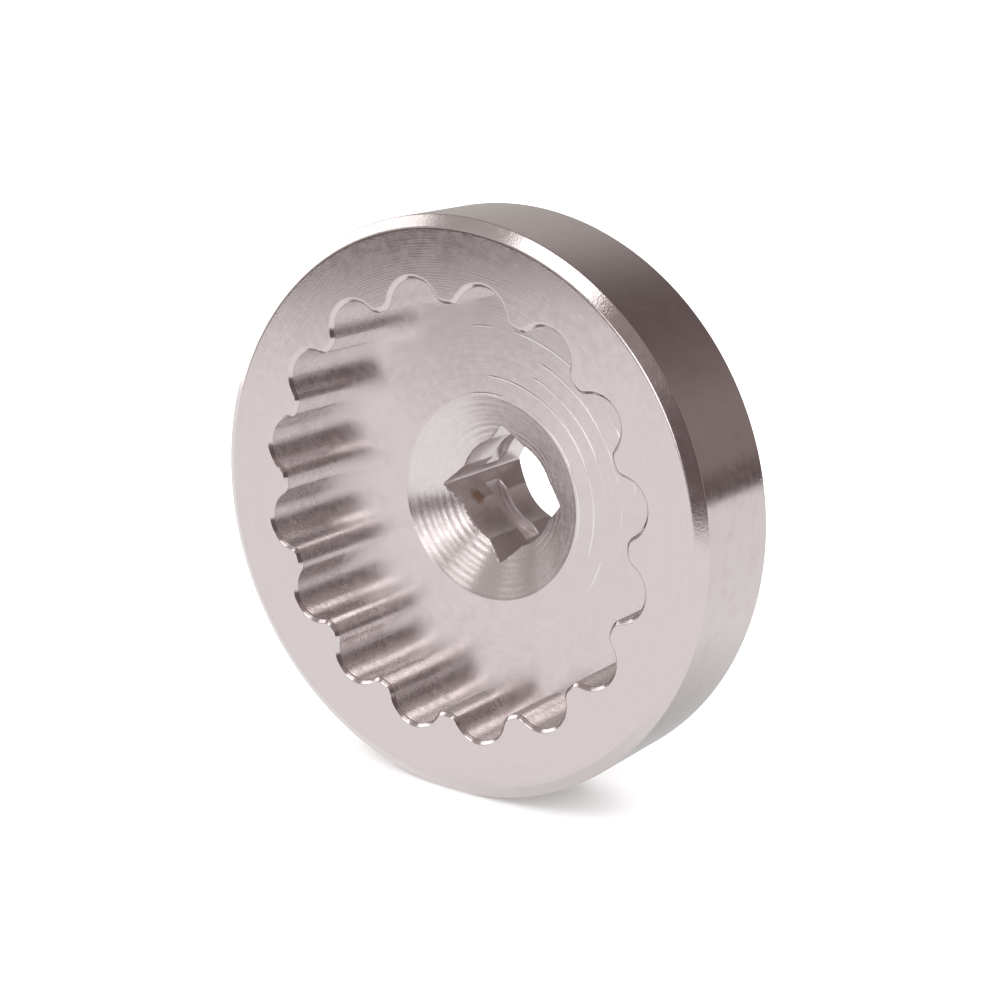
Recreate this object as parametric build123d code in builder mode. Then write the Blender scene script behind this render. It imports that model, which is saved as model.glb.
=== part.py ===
"""A splined drive socket for a cup or lock ring with sixteen notches round its edge.

One piece of plated steel: a thick flange with a toothed recess in its front face, a conical seat in the
recess floor, a hub behind the flange and a square drive hole right through along the axis.

Units are millimetres. The axis of rotation is Y. The toothed face looks toward -Y, and the origin is on
the axis in the plane of the hub's rear end, where the square drive enters. A tooth and a corner of the
square both point straight up, along +Z. Places along the axis are distances ahead of that rear end.
"""

from build123d import *

import math
import os

# Outside of the body
flange_diameter = 55.5
flange_thickness = 11.4
flange_front_chamfer_radial = 1.15
flange_front_chamfer_axial = 0.75
flange_rear_chamfer = 0.6
total_length = 22.0
hub_diameter = 29.0
hub_rear_chamfer = 1.0
hub_root_radius = 1.5

# Toothed recess in the front face
recess_depth = 6.8
tooth_count = 16
tooth_tip_diameter = 39.4
scallop_root_diameter = 44.0
scallop_radius = 2.8
tooth_tip_round = 1.25
recess_mouth_break = 0.35

# Conical seat in the recess floor, left by a drill with a 118 degree point
seat_diameter = 20.0
seat_included_angle = 118.0

# Square drive hole, 3/8 inch class, broached through a drilled pilot bore
square_across_flats = 9.8
square_corner_radius = 0.25
pilot_diameter = 10.7
countersink_diameter = 14.5
countersink_included_angle = 90.0

# Groove inside the drive hole that the driver's detent ball drops into
detent_groove_diameter = 12.15
detent_groove_width = 2.4
detent_groove_depth_from_front = 15.6

# Places and radii worked out from the sizes above
flange_radius = flange_diameter / 2
flange_rear = total_length - flange_thickness
hub_radius = hub_diameter / 2
recess_floor = total_length - recess_depth
pilot_radius = pilot_diameter / 2
seat_radius = seat_diameter / 2
detent_groove_centre = total_length - detent_groove_depth_from_front
detent_groove_radius = detent_groove_diameter / 2
countersink_radius = countersink_diameter / 2
seat_drop = (seat_radius - pilot_radius) / math.tan(math.radians(seat_included_angle / 2))
countersink_depth = countersink_radius / math.tan(math.radians(countersink_included_angle / 2))


def on_plane(edge, place):
    """Says whether an edge lies in the plane that is this far ahead of the rear end."""
    box = edge.bounding_box()
    return box.max.Y - box.min.Y < 1e-4 and abs(box.max.Y + place) < 1e-4


with BuildPart() as socket_body:
    # Turned blank: flange and hub, drawn as a half section beside the axis and revolved about it.
    with BuildSketch(Plane.XY):
        with BuildLine():
            Polyline(
                (0, 0),
                (hub_radius - hub_rear_chamfer, 0),
                (hub_radius, -hub_rear_chamfer),
                (hub_radius, -flange_rear),
                (flange_radius - flange_rear_chamfer, -flange_rear),
                (flange_radius, -flange_rear - flange_rear_chamfer),
                (flange_radius, -total_length + flange_front_chamfer_axial),
                (flange_radius - flange_front_chamfer_radial, -total_length),
                (0, -total_length),
                close=True,
            )
        make_face()
    revolve(axis=Axis.Y)

    # The corner between hub and flange keeps the nose radius of the turning tool.
    rear_circles = socket_body.edges().filter_by(GeomType.CIRCLE)
    rear_circles = rear_circles.filter_by(lambda edge: on_plane(edge, flange_rear))
    fillet(rear_circles.sort_by(SortBy.RADIUS)[0], radius=hub_root_radius)

    # Toothed recess: round scallops cut outward from the circle that the tooth tips lie on.
    with BuildSketch(Plane.XZ.offset(total_length)) as recess_outline:
        Circle(tooth_tip_diameter / 2)
        scallop_centre_radius = scallop_root_diameter / 2 - scallop_radius
        with PolarLocations(scallop_centre_radius, tooth_count, start_angle=180 / tooth_count):
            Circle(scallop_radius)
        fillet(recess_outline.vertices(), radius=tooth_tip_round)
    extrude(amount=-recess_depth, mode=Mode.SUBTRACT)

    # The mouth of the recess has a small edge break all the way round the teeth.
    front_edges = socket_body.edges().filter_by(lambda edge: on_plane(edge, total_length))
    rim_edge = front_edges.sort_by(SortBy.LENGTH)[-1]
    chamfer(front_edges - ShapeList([rim_edge]), length=recess_mouth_break)

    # Conical seat in the recess floor, with the pilot bore below it right through to the rear end.
    with BuildSketch(Plane.XY):
        with BuildLine():
            Polyline(
                (0, -recess_floor),
                (seat_radius, -recess_floor),
                (pilot_radius, -recess_floor + seat_drop),
                (pilot_radius, 0),
                (0, 0),
                close=True,
            )
        make_face()
    revolve(axis=Axis.Y, mode=Mode.SUBTRACT)

    # Square drive hole, with its corners on the X and Z axes.
    with BuildSketch(Plane.XZ) as square_outline:
        Rectangle(square_across_flats, square_across_flats, rotation=45)
        fillet(square_outline.vertices(), radius=square_corner_radius)
    extrude(amount=recess_floor, mode=Mode.SUBTRACT)

    # The detent groove and the countersink at the rear are both turned inside the square hole.
    with BuildSketch(Plane.XY):
        with Locations((detent_groove_radius / 2, -detent_groove_centre)):
            Rectangle(detent_groove_radius, detent_groove_width)
    revolve(axis=Axis.Y, mode=Mode.SUBTRACT)
    with BuildSketch(Plane.XY):
        with BuildLine():
            Polyline((0, 0), (countersink_radius, 0), (0, -countersink_depth), close=True)
        make_face()
    revolve(axis=Axis.Y, mode=Mode.SUBTRACT)

socket_body.part.label = "socket_body"
socket_body.part.color = Color(0.62, 0.59, 0.58)

os.makedirs("parts", exist_ok=True)
export_step(socket_body.part, "parts/socket_body.step")
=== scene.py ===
"""The looks of a splined drive socket: one piece of turned, milled and broached steel, nickel plated.

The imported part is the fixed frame. The body is built here again as one closed mesh at the same sizes,
with the turning grooves and edge rounds that the plain CAD solid leaves out.
Lengths of the body are in millimetres until the mesh is written in metres. The camera, floor and lights
are in metres. A place along the axis is a depth behind the toothed front face, so depth 0 is that face.
Azimuths and elevations are in degrees, and azimuth 0 is ahead of the toothed face.
"""

import math

import bpy
import numpy as np
from mathutils import Matrix, Vector


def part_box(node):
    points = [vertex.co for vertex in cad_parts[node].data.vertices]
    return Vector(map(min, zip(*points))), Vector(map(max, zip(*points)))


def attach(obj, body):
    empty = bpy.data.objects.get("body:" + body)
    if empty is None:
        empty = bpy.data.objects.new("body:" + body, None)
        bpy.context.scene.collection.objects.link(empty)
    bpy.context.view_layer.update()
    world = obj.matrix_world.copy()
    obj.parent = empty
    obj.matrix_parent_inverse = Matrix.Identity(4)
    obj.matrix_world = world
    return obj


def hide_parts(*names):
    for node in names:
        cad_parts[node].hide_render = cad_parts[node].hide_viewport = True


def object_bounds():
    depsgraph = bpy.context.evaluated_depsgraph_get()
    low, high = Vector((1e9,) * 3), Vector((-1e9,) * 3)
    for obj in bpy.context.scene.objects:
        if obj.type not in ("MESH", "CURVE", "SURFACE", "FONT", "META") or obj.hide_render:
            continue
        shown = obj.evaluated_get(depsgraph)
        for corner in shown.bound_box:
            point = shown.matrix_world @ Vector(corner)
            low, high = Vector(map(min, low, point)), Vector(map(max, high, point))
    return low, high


MM = 0.001

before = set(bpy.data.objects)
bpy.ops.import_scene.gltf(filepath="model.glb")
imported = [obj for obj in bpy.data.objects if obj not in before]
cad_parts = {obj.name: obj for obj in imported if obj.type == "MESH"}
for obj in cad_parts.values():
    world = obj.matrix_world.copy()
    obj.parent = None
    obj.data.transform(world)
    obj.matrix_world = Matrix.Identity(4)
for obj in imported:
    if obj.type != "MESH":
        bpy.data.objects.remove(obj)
cad_low, cad_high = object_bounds()
body_low, body_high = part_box("socket_body")

# Sizes of the part. The outside comes from the frame, and the rest repeats the CAD model's sizes.
flange_radius = (body_high.x - body_low.x) / 2 / MM
total_length = (body_high.y - body_low.y) / MM
flange_thickness = 11.4
flange_front_chamfer_radial = 1.15
flange_front_chamfer_axial = 0.75
flange_rear_chamfer = 0.6
hub_radius = 14.5
hub_rear_chamfer = 1.0
hub_root_radius = 1.5
recess_depth = 6.8
tooth_count = 16
tooth_tip_radius = 19.7
scallop_root_radius = 22.0
scallop_radius = 2.8
tooth_tip_round = 1.25
recess_mouth_break = 0.35
seat_radius = 10.0
seat_slope = math.radians(90 - 118 / 2)
square_half = 4.9
square_corner_radius = 0.25
pilot_radius = 5.35
countersink_radius = 7.25
detent_groove_radius = 6.075
detent_groove_width = 2.4
detent_groove_depth = 15.6

# Fine shape of the surface. face_edge_round is for the front face's outer edge, edge_round for the rest.
edge_round = 0.1
face_edge_round = 0.4
arc_steps = 4
columns_per_tooth = 30
columns = tooth_count * columns_per_tooth
seat_rows = 46
seat_groove_pitch = 0.55
seat_groove_height = 0.013
hole_edge_tear = 0.035
floor_rows = 50
floor_groove_pitch = 0.66
floor_groove_height = 0.0018


# ---------------------------------------------------------------- outlines round the axis


def tooth_outline(angle):
    """Radius of the toothed wall at an angle from +X: scallop arcs, rounded tooth tips and short lands."""
    pitch = 2 * math.pi / tooth_count
    from_scallop = np.abs(np.mod(angle, pitch) - pitch / 2)
    centre = scallop_root_radius - scallop_radius
    inside = scallop_radius**2 - (centre * np.sin(from_scallop)) ** 2
    scallop = centre * np.cos(from_scallop) + np.sqrt(np.maximum(inside, 0))
    # The round on a tooth's corner touches the scallop and the circle of the tooth tips.
    round_centre = tooth_tip_radius + tooth_tip_round
    reach = scallop_radius + tooth_tip_round
    cosine = (round_centre**2 + centre**2 - reach**2) / (2 * round_centre * centre)
    round_angle = math.acos(cosine)
    share = scallop_radius / reach
    touch_x = centre + share * (round_centre * math.cos(round_angle) - centre)
    touch_y = share * round_centre * math.sin(round_angle)
    touch_angle = math.atan2(touch_y, touch_x)
    away = from_scallop - round_angle
    inside = tooth_tip_round**2 - (round_centre * np.sin(away)) ** 2
    corner = round_centre * np.cos(away) - np.sqrt(np.maximum(inside, 0))
    radius = np.where(from_scallop < touch_angle, scallop, corner)
    return np.where(from_scallop > round_angle, tooth_tip_radius, radius)


def square_outline(angle):
    """Radius of the drive hole at an angle from +X: four flats, small corner rounds and the pilot bore."""
    from_corner = np.abs(np.mod(angle + math.pi / 4, math.pi / 2) - math.pi / 4)
    flat = square_half / np.cos(math.pi / 4 - from_corner)
    round_centre = (square_half - square_corner_radius) * math.sqrt(2)
    inside = square_corner_radius**2 - (round_centre * np.sin(from_corner)) ** 2
    corner = round_centre * np.cos(from_corner) + np.sqrt(np.maximum(inside, 0))
    touch = math.pi / 4 - math.atan2(square_half - square_corner_radius, square_half)
    radius = np.where(from_corner < touch, corner, flat)
    return np.maximum(radius, pilot_radius)


def column_angles():
    """Angles of the mesh's columns, evenly spaced along the toothed wall and not along a circle."""
    samples = 4000
    fine = np.linspace(0, 2 * math.pi / tooth_count, samples)
    radius = tooth_outline(fine)
    step = np.hypot(np.diff(radius), radius[1:] * np.diff(fine))
    length = np.concatenate([[0], np.cumsum(step)])
    even = np.linspace(0, length[-1], columns_per_tooth, endpoint=False)
    one_tooth = np.interp(even, length, fine)
    starts = np.arange(tooth_count) * 2 * math.pi / tooth_count
    return (starts[:, None] + one_tooth[None, :]).ravel()


angles = column_angles()
wall_radius = tooth_outline(angles)
hole_radius = square_outline(angles)


# ---------------------------------------------------------------- rows of the mesh


class Rows:
    """Closed rows of points round the axis, and the finish of the band of faces ahead of each row."""

    def __init__(self):
        self.points = []
        self.finishes = []

    def add(self, x, z, depth, finish):
        y = np.broadcast_to(depth, x.shape) - total_length
        self.points.append(np.stack([x, y, z], axis=1))
        self.finishes.append(finish)

    def circle(self, radius, depth, finish):
        """A row at a radius and a depth, either of which may change round the axis."""
        radius = np.broadcast_to(radius, angles.shape)
        self.add(radius * np.cos(angles), radius * np.sin(angles), depth, finish)


def wall_offset(distance):
    """The toothed wall's points moved outward into the steel by a distance, or inward if it is negative."""
    x = wall_radius * np.cos(angles)
    z = wall_radius * np.sin(angles)
    along_x = np.roll(x, -1) - np.roll(x, 1)
    along_z = np.roll(z, -1) - np.roll(z, 1)
    length = np.hypot(along_x, along_z)
    return x + distance * along_z / length, z - distance * along_x / length


def rounded_path(corners):
    """Points of a path of (radius, depth, round) corners, each rounded, with a support point either side."""
    path = [np.array(corners[0][:2], float)]
    for before, corner, after in zip(corners, corners[1:], corners[2:]):
        here = np.array(corner[:2], float)
        back = np.array(before[:2], float) - here
        on = np.array(after[:2], float) - here
        back /= np.linalg.norm(back)
        on /= np.linalg.norm(on)
        half = math.acos(np.clip(back @ on, -1, 1)) / 2
        trim = corner[2] / math.tan(half)
        centre = here + (back + on) / np.linalg.norm(back + on) * corner[2] / math.sin(half)
        first = here + back * trim - centre
        last = here + on * trim - centre
        turn = math.atan2(first[0] * last[1] - first[1] * last[0], first @ last)
        path.append(here + back * (trim + edge_round))
        for step in range(arc_steps + 1):
            a = turn * step / arc_steps
            turned = np.array([[math.cos(a), -math.sin(a)], [math.sin(a), math.cos(a)]]) @ first
            path.append(centre + turned)
        path.append(here + on * (trim + edge_round))
    path.append(np.array(corners[-1][:2], float))
    return path


def seat_groove(radius):
    """Height of the turning grooves of the conical seat, uneven in pitch and depth."""
    turns = 2 * math.pi * radius / seat_groove_pitch
    uneven = 0.55 + 0.45 * np.sin(turns * 0.137 + 1.3) * np.sin(turns * 0.061)
    wave = np.sin(turns + 1.1 * np.sin(turns * 0.21)) + 0.45 * np.sin(turns * 2.3 + 0.7)
    return seat_groove_height * uneven * wave


def floor_groove(radius):
    """Height of the shallow turning grooves of the recess floor, least worn up and to the right."""
    turns = 2 * math.pi * radius / floor_groove_pitch
    uneven = 0.5 + 0.5 * np.sin(turns * 0.119 + 4.2) * np.sin(turns * 0.043 + 0.4)
    uneven = uneven * (0.6 + 0.4 * np.cos(angles - math.radians(50)))
    wave = np.sin(turns + 0.9 * np.sin(turns * 0.31)) + 0.4 * np.sin(turns * 1.9)
    return floor_groove_height * uneven * wave


def seat_depth(radius):
    """Depth of the conical seat at a radius, without its grooves."""
    return recess_depth + (seat_radius - radius) * math.tan(seat_slope)


def build_rows():
    """All rows in order: from the seat's edge out over the front and the rim, and back through the hole."""
    rows = Rows()

    # Recess floor, out to the foot of the wall
    seat_edge = [
        (seat_radius - 1.0, seat_depth(seat_radius - 1.0), 0),
        (seat_radius, recess_depth, edge_round / 3),
        (seat_radius + 1.0, recess_depth, 0),
    ]
    for radius, depth in rounded_path(seat_edge)[1:-1]:
        rows.circle(radius, depth, "floor")
    inner_x, inner_z = wall_offset(-edge_round)
    last_circle = tooth_tip_radius - 4 * edge_round
    for radius in np.linspace(seat_radius + 0.4, last_circle, floor_rows):
        fade = min(1.0, radius - seat_radius - 0.4, last_circle - radius)
        rows.circle(radius, recess_depth + fade * floor_groove(radius), "floor")
    for share in (0.35, 0.7, 1.0):
        x = last_circle * np.cos(angles) * (1 - share) + inner_x * share
        z = last_circle * np.sin(angles) * (1 - share) + inner_z * share
        rows.add(x, z, recess_depth, "floor")
    wall_x, wall_z = wall_offset(0)
    rows.add(wall_x, wall_z, recess_depth, "floor")

    # Toothed wall up to the edge break round the mouth
    top = recess_mouth_break
    for share in (0.03, 0.25, 0.5, 0.75, 0.97):
        rows.add(wall_x, wall_z, recess_depth + (top + edge_round - recess_depth) * share, "wall")
    rows.add(wall_x, wall_z, top + edge_round / 2, "wall")
    mouth = [(0, top + 1, 0), (0, top, edge_round), (top, 0, edge_round), (top + 1, 0, 0)]
    for offset, depth in rounded_path(mouth)[2:-2]:
        x, z = wall_offset(offset)
        rows.add(x, z, depth, "mouth")

    # Front face from the mouth out to the rim's chamfer
    mouth_x, mouth_z = wall_offset(top + 2 * edge_round)
    outer = flange_radius - flange_front_chamfer_radial - face_edge_round
    for share in (0.0, 0.12, 0.3, 0.55, 0.8, 1.0):
        x = mouth_x * (1 - share) + outer * np.cos(angles) * share
        z = mouth_z * (1 - share) + outer * np.sin(angles) * share
        rows.add(x, z, 0, "front")

    # Outside of the body, from the front chamfer over the rim and the hub to the rear countersink
    chamfer_start = flange_radius - flange_front_chamfer_radial
    outside = [
        (outer, 0, 0),
        (chamfer_start, 0, face_edge_round),
        (flange_radius, flange_front_chamfer_axial, edge_round),
        (flange_radius, flange_thickness - flange_rear_chamfer, edge_round),
        (flange_radius - flange_rear_chamfer, flange_thickness, edge_round),
        (hub_radius, flange_thickness, hub_root_radius),
        (hub_radius, total_length - hub_rear_chamfer, edge_round),
        (hub_radius - hub_rear_chamfer, total_length, edge_round),
        (countersink_radius, total_length, edge_round / 2),
        (countersink_radius - 0.2, total_length - 0.2, 0),
    ]
    for radius, depth in rounded_path(outside)[1:-2]:
        rows.circle(radius, depth, finish_of_outside(radius, depth))

    # Countersink, drive hole and detent groove, from the rear end forward
    hole_rear = total_length - (countersink_radius - hole_radius)
    for share in (0.3, 0.8):
        radius = countersink_radius + (hole_radius - countersink_radius) * share
        depth = total_length + (hole_rear - total_length) * share
        rows.circle(radius, depth, "rear")
    groove_rear = detent_groove_depth + detent_groove_width / 2
    groove_front = detent_groove_depth - detent_groove_width / 2
    cut = np.maximum(detent_groove_radius - hole_radius, 0)
    for share in (0.0, 0.04, 0.5, 0.96):
        rows.circle(hole_radius, hole_rear + (groove_rear + edge_round - hole_rear) * share, "hole")
    for share, inset in ((0, 0), (0.15, 0.3), (0.85, 0.7), (1, 2), (1, 4)):
        rows.circle(hole_radius + share * cut, groove_rear - inset * edge_round, "groove")
    for share, inset in ((1, 4), (1, 2), (0.85, 0.7), (0.15, 0.3), (0, 0)):
        rows.circle(hole_radius + share * cut, groove_front + inset * edge_round, "groove")
    hole_front = seat_depth(hole_radius)
    hole_end = hole_front + edge_round
    for share in (0.03, 0.35, 0.7, 0.98):
        rows.circle(hole_radius, groove_front + (hole_end - groove_front) * share, "hole")
    rows.circle(hole_radius, hole_front + edge_round / 2, "hole")

    # Conical seat with its turning grooves, out to the recess floor
    tear = np.sin(53 * angles) + np.sin(89 * angles + 1.3) * np.sin(7 * angles)
    inner = hole_radius + edge_round / 2 + hole_edge_tear * tear
    for share in np.linspace(0, 1, seat_rows):
        radius = inner + (seat_radius - 2 * edge_round - inner) * share
        fade = min(1.0, share * 12, (1 - share) * 12)
        rows.circle(radius, seat_depth(radius) + fade * seat_groove(radius), "seat")
    return rows


def finish_of_outside(radius, depth):
    """Name of the finish at a place on the outside of the body."""
    if depth < flange_front_chamfer_axial + edge_round:
        return "chamfer"
    if depth < flange_thickness and radius > flange_radius - edge_round:
        return "rim"
    return "rear"


def make_body(materials):
    """One closed mesh from all rows, with its bands of faces given their finishes."""
    rows = build_rows()
    points = np.concatenate(rows.points) * MM
    count = len(rows.points)
    here = np.arange(columns)
    right = np.roll(here, -1)
    faces = []
    slots = []
    names = list(materials)
    for row in range(count):
        below = row * columns
        above = (row + 1) % count * columns
        quads = np.stack([below + here, above + here, above + right, below + right], axis=1)
        faces.append(quads)
        slots.append(np.full(columns, names.index(rows.finishes[(row + 1) % count])))
    mesh = bpy.data.meshes.new("socket_body_machined")
    mesh.from_pydata(points.tolist(), [], np.concatenate(faces).tolist())
    for name in names:
        mesh.materials.append(materials[name])
    mesh.polygons.foreach_set("material_index", np.concatenate(slots).astype(np.int32))
    mesh.polygons.foreach_set("use_smooth", np.ones(len(mesh.polygons), bool))
    mesh.update()
    piece = bpy.data.objects.new("socket_body_machined", mesh)
    bpy.context.scene.collection.objects.link(piece)
    mesh.set_sharp_from_angle(angle=math.radians(38))
    return piece


# ---------------------------------------------------------------- materials

NICKEL = (0.70, 0.632, 0.635)
STAINED_NICKEL = (0.55, 0.475, 0.46)
# Painted shade: the rim gets a darker copy of the nickel, which darkens its reflections
SHADED_RIM_NICKEL = (0.635, 0.57, 0.57)
CUT_NICKEL = (0.76, 0.7, 0.7)
# Painted light: the toothed walls get a lighter copy of the nickel, which lightens their reflections
LIT_WALL_NICKEL = (0.9, 0.875, 0.87)
# Painted highlight: near-white nickel on the coarse ridges, standing in for the light that they catch
RIDGE_HIGHLIGHT_NICKEL = (0.92, 0.88, 0.88)
RUST = (0.42, 0.25, 0.14)

# The rust stain on a flat of the drive hole: its middle, and the distances from it at which its edge
# starts and ends, before noise spreads the edge by up to rust_raggedness
rust_place = Vector((-5.2, -9.9, -1.7))
rust_edge_start = -0.15
rust_edge_end = 0.45
rust_raggedness = 1.2

# Scuffs: how near to its middle value the noise has to be to draw a scratch
scuff_width = 0.012

# Coarse ridges: how many there are to a millimetre of radius, half the width of each as a share of their
# spacing, and how strongly the noise that breaks them into arcs, which carry a painted highlight, favours
# the upper right
ridge_density = 0.6
ridge_width = 0.07
ridge_lean = 0.35


class Tree:
    """A short way to write a node tree: each call adds a node, links it and returns an output."""

    def __init__(self, tree):
        self.tree = tree

    def node(self, kind, inputs=(), output=0, **settings):
        made = self.tree.nodes.new("ShaderNode" + kind)
        for name, value in settings.items():
            setattr(made, name, value)
        for socket, value in dict(inputs).items():
            if isinstance(value, bpy.types.NodeSocket):
                self.tree.links.new(value, made.inputs[socket])
            else:
                made.inputs[socket].default_value = value
        return made.outputs[output]

    def math(self, operation, first, second=0.0, third=0.0):
        return self.node("Math", {0: first, 1: second, 2: third}, operation=operation)

    def vector(self, x, y, z):
        return self.node("CombineXYZ", {0: x, 1: y, 2: z})

    def noise(self, vector, scale, detail=2.0, roughness=0.5):
        sockets = {"Vector": vector, "Scale": scale, "Detail": detail, "Roughness": roughness}
        return self.node("TexNoise", sockets)

    def remap(self, value, low, high, to_low=0.0, to_high=1.0):
        sockets = {0: value, 1: low, 2: high, 3: to_low, 4: to_high}
        return self.node("MapRange", sockets, interpolation_type="SMOOTHSTEP")

    def mix(self, share, first, second):
        sockets = {"Factor": share, 6: first, 7: second}
        return self.node("Mix", sockets, output=2, data_type="RGBA")


def steel(
    name,
    marks,
    pitch,
    height,
    roughness,
    across=0.6,
    grain=0.0005,
    scuff=0.0,
    ridge=0.0,
    stain=0.2,
    rusty=False,
    base=NICKEL,
):
    """Plated steel with fine tool marks.

    marks says which way the tool left them: "face" for circles on a face, "round" for circles round a
    cylinder and "axial" for straight marks along the axis. pitch and height are the marks' own, grain
    is the height of the fine pitting, scuff the depth of the handling scratches and ridge the height of
    the few coarse tool marks, in millimetres. across says how much further the marks spread a reflection
    across than along themselves, and stain how strong the brown stains are. rusty adds the rust stain,
    and base is the colour of the plating: clean nickel, except the rim's darker base, which is painted
    shade, and the walls' lighter base, which is painted light.
    """
    material = bpy.data.materials.new("steel_" + name)
    material.use_nodes = True
    tree = Tree(material.node_tree)
    links = material.node_tree.links
    shader = material.node_tree.nodes["Principled BSDF"]
    place = tree.node("TexCoord", output="Object")
    place = tree.node("VectorMath", {0: place, "Scale": 1 / MM}, operation="SCALE")
    x, y, z = tree.node("SeparateXYZ", {0: place}).node.outputs
    radius = tree.math("SQRT", tree.math("ADD", tree.math("MULTIPLY", x, x), tree.math("MULTIPLY", z, z)))

    # Fine marks: noise stretched along the way that the tool went, stronger in some places
    if marks == "axial":
        stretched = tree.vector(x, tree.math("MULTIPLY", y, 0.04), z)
    else:
        step = radius if marks == "face" else y
        stretched = tree.vector(step, tree.math("MULTIPLY", x, 0.02), tree.math("MULTIPLY", z, 0.02))
    lines = tree.noise(stretched, 1 / pitch, 2.0, 0.5)
    if marks != "axial":
        turns = tree.math("MULTIPLY_ADD", step, 2 * math.pi / pitch, tree.math("MULTIPLY", lines, 9.0))
        lines = tree.math("MULTIPLY_ADD", tree.math("SINE", turns), 0.3, lines)
    patches = tree.noise(place, 0.16, 2.0)
    strong = tree.remap(patches, 0.38, 0.62, 0.3 * height, height)
    pits = tree.noise(place, 4.5, 3.0, 0.7)
    relief = tree.math("MULTIPLY_ADD", pits, grain, tree.math("MULTIPLY", lines, strong))

    # Scuffs: thin shallow scratches of handling, in a few places
    drawn_out = tree.vector(x, y, tree.math("MULTIPLY", z, 0.3))
    wander = tree.math("ABSOLUTE", tree.math("SUBTRACT", tree.noise(drawn_out, 0.9, 1.0), 0.5))
    scuffed = tree.remap(tree.noise(place, 0.35, 1.0), 0.5, 0.62)
    scuffs = tree.math("MULTIPLY", tree.remap(wander, 0.0, scuff_width, 1.0, 0.0), scuffed)
    relief = tree.math("MULTIPLY_ADD", scuffs, -scuff, relief)

    # Coarse marks: narrow ridges at uneven radii, each one broken into arcs, mostly up and to the right
    if ridge:
        sockets = {"W": radius, "Scale": ridge_density, "Randomness": 0.9}
        nearness = tree.node("TexVoronoi", sockets, voronoi_dimensions="1D", feature="DISTANCE_TO_EDGE")
        narrow = tree.node("MapRange", {0: nearness, 1: 0.0, 2: ridge_width, 3: 1.0, 4: 0.0})
        around = tree.vector(radius, tree.math("MULTIPLY", x, 0.15), tree.math("MULTIPLY", z, 0.15))
        towards_it = tree.math("DIVIDE", tree.math("ADD", x, z), radius)
        upper_right = tree.math("MULTIPLY", towards_it, ridge_lean)
        kept = tree.remap(tree.math("ADD", tree.noise(around, 1.0, 1.0), upper_right), 0.86, 1.0)
        ridges = tree.math("MULTIPLY", narrow, kept)
        relief = tree.math("MULTIPLY_ADD", ridges, ridge, relief)
    bump = tree.node("Bump", {"Height": relief, "Distance": MM, "Strength": 1.0})
    links.new(bump, shader.inputs["Normal"])

    # Plating: browner in soft stains and in the bottoms of the marks, uneven in gloss, and with a painted
    # highlight on the coarse ridges
    stained = tree.remap(tree.noise(place, 0.45, 4.0, 0.6), 0.45, 0.75, 0.0, stain)
    in_marks = tree.remap(lines, 0.5, 0.3, 0.0, 0.12)
    brown = tree.math("MAXIMUM", stained, in_marks)
    colour = tree.mix(brown, (*base, 1), (*STAINED_NICKEL, 1))
    # Painted highlight: the coarse ridges are coloured near-white nickel
    if ridge:
        colour = tree.mix(ridges, colour, (*RIDGE_HIGHLIGHT_NICKEL, 1))
    if rusty:
        away = tree.node("VectorMath", {0: place, 1: rust_place}, operation="DISTANCE", output=1)
        spotty = tree.math("MULTIPLY_ADD", tree.noise(place, 2.5, 3.0), -rust_raggedness, away)
        rust = tree.remap(spotty, rust_edge_start, rust_edge_end, 0.8, 0.0)
        colour = tree.mix(rust, colour, (*RUST, 1))
    links.new(colour, shader.inputs["Base Color"])
    gloss = tree.remap(tree.noise(place, 1.3, 3.0), 0.3, 0.75, roughness * 0.85, roughness * 1.2)
    links.new(gloss, shader.inputs["Roughness"])
    links.new(tree.node("Tangent", direction_type="RADIAL", axis="Y"), shader.inputs["Tangent"])
    shader.inputs["Metallic"].default_value = 1
    shader.inputs["Anisotropic"].default_value = across
    shader.inputs["Anisotropic Rotation"].default_value = 0 if marks == "axial" else 0.25
    return material


materials = {
    "front": steel("front", "face", 0.24, 0.0011, 0.18, across=0.3, grain=0.0014, scuff=0.001, stain=0.1),
    "chamfer": steel("chamfer", "face", 0.12, 0.0008, 0.15, across=0.2, grain=0.009),
    # The rim's darker base is painted shade
    "rim": steel(
        "rim", "round", 0.16, 0.0008, 0.14, across=0.3, grain=0.0008, scuff=0.004, stain=0.5, base=SHADED_RIM_NICKEL
    ),
    "mouth": steel("mouth", "axial", 0.5, 0.003, 0.15),
    # The walls' lighter base is painted light
    "wall": steel(
        "wall", "axial", 0.9, 0.055, 0.28, across=0.7, grain=0.0002, scuff=0.006, base=LIT_WALL_NICKEL
    ),
    "floor": steel("floor", "face", 0.3, 0.0012, 0.22, across=0.75, grain=0.0003, ridge=0.032),
    "seat": steel("seat", "face", 0.25, 0.0015, 0.26, across=0.8, grain=0.0001, base=CUT_NICKEL),
    "hole": steel("hole", "axial", 0.35, 0.008, 0.35, stain=0.6, rusty=True, base=CUT_NICKEL),
    "groove": steel("groove", "round", 0.2, 0.003, 0.35, base=CUT_NICKEL),
    "rear": steel("rear", "face", 0.32, 0.003, 0.18, across=0.3, scuff=0.002, ridge=0.006),
}
body = make_body(materials)
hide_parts("socket_body")
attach(body, "root")


# ---------------------------------------------------------------- camera

camera_azimuth = 35.7
camera_elevation = 15.4
camera_roll = math.radians(0.28)
camera_distance = 6.69 * flange_radius * MM
camera_lens = 73.56
aim_right = 0.2234 * flange_radius * MM
aim_up = 0.0873 * flange_radius * MM


def direction(azimuth, elevation):
    """Unit vector towards an azimuth and elevation in degrees."""
    a, e = math.radians(azimuth), math.radians(elevation)
    return Vector((math.sin(a) * math.cos(e), -math.cos(a) * math.cos(e), math.sin(e)))


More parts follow.
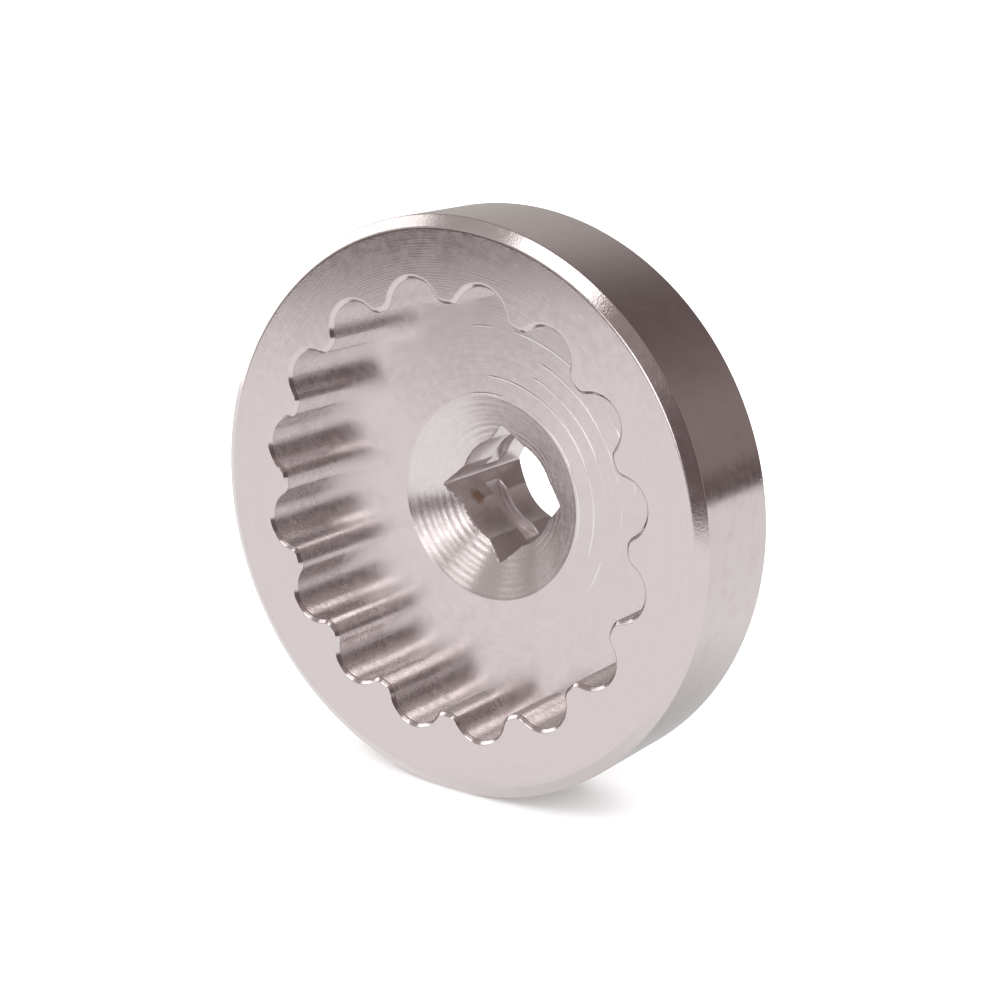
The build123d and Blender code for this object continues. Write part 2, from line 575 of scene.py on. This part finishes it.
def make_camera():
    """The camera, which looks at the toothed face from a little above and to one side."""
    aim = Vector((aim_right, body_low.y, aim_up))
    back = direction(camera_azimuth, camera_elevation)
    data = bpy.data.cameras.new("camera")
    data.lens = camera_lens
    data.sensor_width = 36
    data.clip_start = 0.01
    data.clip_end = 50
    made = bpy.data.objects.new("camera", data)
    turn = (-back).to_track_quat("-Z", "Y").to_matrix().to_4x4() @ Matrix.Rotation(camera_roll, 4, "Z")
    made.matrix_world = Matrix.Translation(aim + back * camera_distance) @ turn
    bpy.context.scene.collection.objects.link(made)
    bpy.context.scene.camera = made


make_camera()


# ---------------------------------------------------------------- floor and light

floor_level = cad_low.z
floor_half = 4.0
FLOOR_PALE = (0.9, 0.9, 0.9)

# What lights the floor, and what the steel reflects
FLOOR_LIGHT = (2.0, 2.0, 2.0)
TABLE_LIGHT = (0.97, 0.965, 0.965)
ROOM_BROWN = (0.29, 0.24, 0.23)
ROOM_DARK = (0.13, 0.1, 0.097)
ROOM_GREY = (0.5, 0.475, 0.455)
ROOM_PALE = (0.8, 0.77, 0.76)

# Edges of the reflected table top, away from the part as the camera sees them
table_front_edge = 9.0 * flange_radius * MM
table_back_edge = 22 * flange_radius * MM
table_left_edge = 10.8 * flange_radius * MM
table_right_edge = 15 * flange_radius * MM

# The soft shade on it near the foot of the body: its middle, its reach, and the light left in the middle
shade_place = Vector((16 * MM, -4 * MM, floor_level))
shade_reach = 32 * MM
shade_light = 0.6

# Distance of the softboxes from the body
softbox_distance = 0.8


def sheet(name, corners, material):
    """A flat stage piece through four corners."""
    mesh = bpy.data.meshes.new(name)
    mesh.from_pydata([tuple(c) for c in corners], [], [(0, 1, 2, 3)])
    mesh.materials.append(material)
    made = bpy.data.objects.new(name, mesh)
    bpy.context.scene.collection.objects.link(made)
    return made


def plain_material(name, shader, socket, colour):
    """A material of one plain shader, for the stage."""
    material = bpy.data.materials.new(name)
    material.use_nodes = True
    nodes = material.node_tree.nodes
    nodes.remove(nodes["Principled BSDF"])
    made = nodes.new(shader)
    made.inputs[socket].default_value = (*colour, 1)
    material.node_tree.links.new(made.outputs[0], nodes["Material Output"].inputs["Surface"])
    return material


def table_material():
    """The glow of the table top, dimmer in the soft shade near the foot of the body."""
    material = plain_material("table_light", "ShaderNodeEmission", "Color", TABLE_LIGHT)
    tree = Tree(material.node_tree)
    place = tree.node("TexCoord", output="Object")
    away = tree.node("VectorMath", {0: place, 1: shade_place}, operation="DISTANCE", output=1)
    light = tree.remap(away, 0, shade_reach, shade_light, 1.0)
    emission = material.node_tree.nodes["Emission"]
    material.node_tree.links.new(light, emission.inputs["Strength"])
    return material


def make_floor():
    """The pale floor, and a bright table top that only the steel's reflections see."""
    ends = [(-1, -1), (1, -1), (1, 1), (-1, 1)]
    corners = [(floor_half * x, floor_half * y, floor_level) for x, y in ends]
    pale = plain_material("pale_floor", "ShaderNodeBsdfDiffuse", "Color", FLOOR_PALE)
    floor = sheet("floor", corners, pale)
    floor.visible_glossy = False
    ahead = direction(camera_azimuth, 0)
    side = Vector((-ahead.y, ahead.x, 0))
    near = ahead * table_front_edge + Vector((0, 0, floor_level))
    far = -ahead * table_back_edge + Vector((0, 0, floor_level))
    left = side * -table_left_edge
    right = side * table_right_edge
    corners = [near + left, near + right, far + right, far + left]
    table = sheet("table_reflection", corners, table_material())
    table.visible_camera = False
    table.visible_diffuse = False
    table.visible_shadow = False


def make_world():
    """White light for the floor, and a brown room with bright and dark parts for the steel to reflect."""
    world = bpy.data.worlds.new("studio")
    bpy.context.scene.world = world
    world.use_nodes = True
    tree = Tree(world.node_tree)
    background = world.node_tree.nodes["Background"]
    way = tree.node("TexCoord", output="Generated")

    def patch(room, colour, azimuth, elevation, inner, outer):
        """The room with a soft round patch: all colour inside inner degrees, and none past outer."""
        sockets = {0: way, 1: direction(azimuth, elevation)}
        towards = tree.node("VectorMath", sockets, operation="DOT_PRODUCT", output=1)
        share = tree.remap(towards, math.cos(math.radians(outer)), math.cos(math.radians(inner)))
        return tree.mix(share, room, (*colour, 1))

    room = patch((*ROOM_BROWN, 1), ROOM_DARK, 170, 50, 5, 40)
    room = patch(room, ROOM_GREY, -140, 2, 10, 55)
    room = patch(room, ROOM_GREY, -35, 25, 10, 40)
    room = patch(room, ROOM_PALE, -88, -6, 14, 36)
    room = patch(room, ROOM_DARK, -37, -5, 6, 18)
    room = patch(room, ROOM_DARK, 148, -2, 0, 6)
    room = patch(room, ROOM_DARK, 45, 11, 14, 27)
    glossy = tree.node("LightPath", output="Is Glossy Ray")
    seen = tree.mix(glossy, (*FLOOR_LIGHT, 1), room)
    world.node_tree.links.new(seen, background.inputs["Color"])
    background.inputs["Strength"].default_value = 1.0


def make_softbox(name, start, end, width, brightness):
    """An area light between two directions, width metres across, as bright as a reflection shows it."""
    start = direction(*start)
    end = direction(*end)
    back = (start + end).normalized()
    along = (end - start).normalized()
    data = bpy.data.lights.new(name, "AREA")
    data.shape = "RECTANGLE"
    data.size = (end - start).length / back.dot(start) * softbox_distance
    data.size_y = width
    data.energy = brightness * math.pi * data.size * width
    made = bpy.data.objects.new(name, data)
    turn = Matrix((along, back.cross(along), back)).transposed().to_4x4()
    made.matrix_world = Matrix.Translation(back * softbox_distance) @ turn
    bpy.context.scene.collection.objects.link(made)


make_floor()
make_world()
make_softbox("key_softbox", (6, 42), (-24, 47), 0.2, 2.6)
make_softbox("left_softbox", (-59, 40), (-105, -8), 0.16, 1.4)
make_softbox("front_softbox", (-8, 11), (18, 13), 0.3, 1.9)
bpy.context.scene.view_settings.view_transform = "Standard"
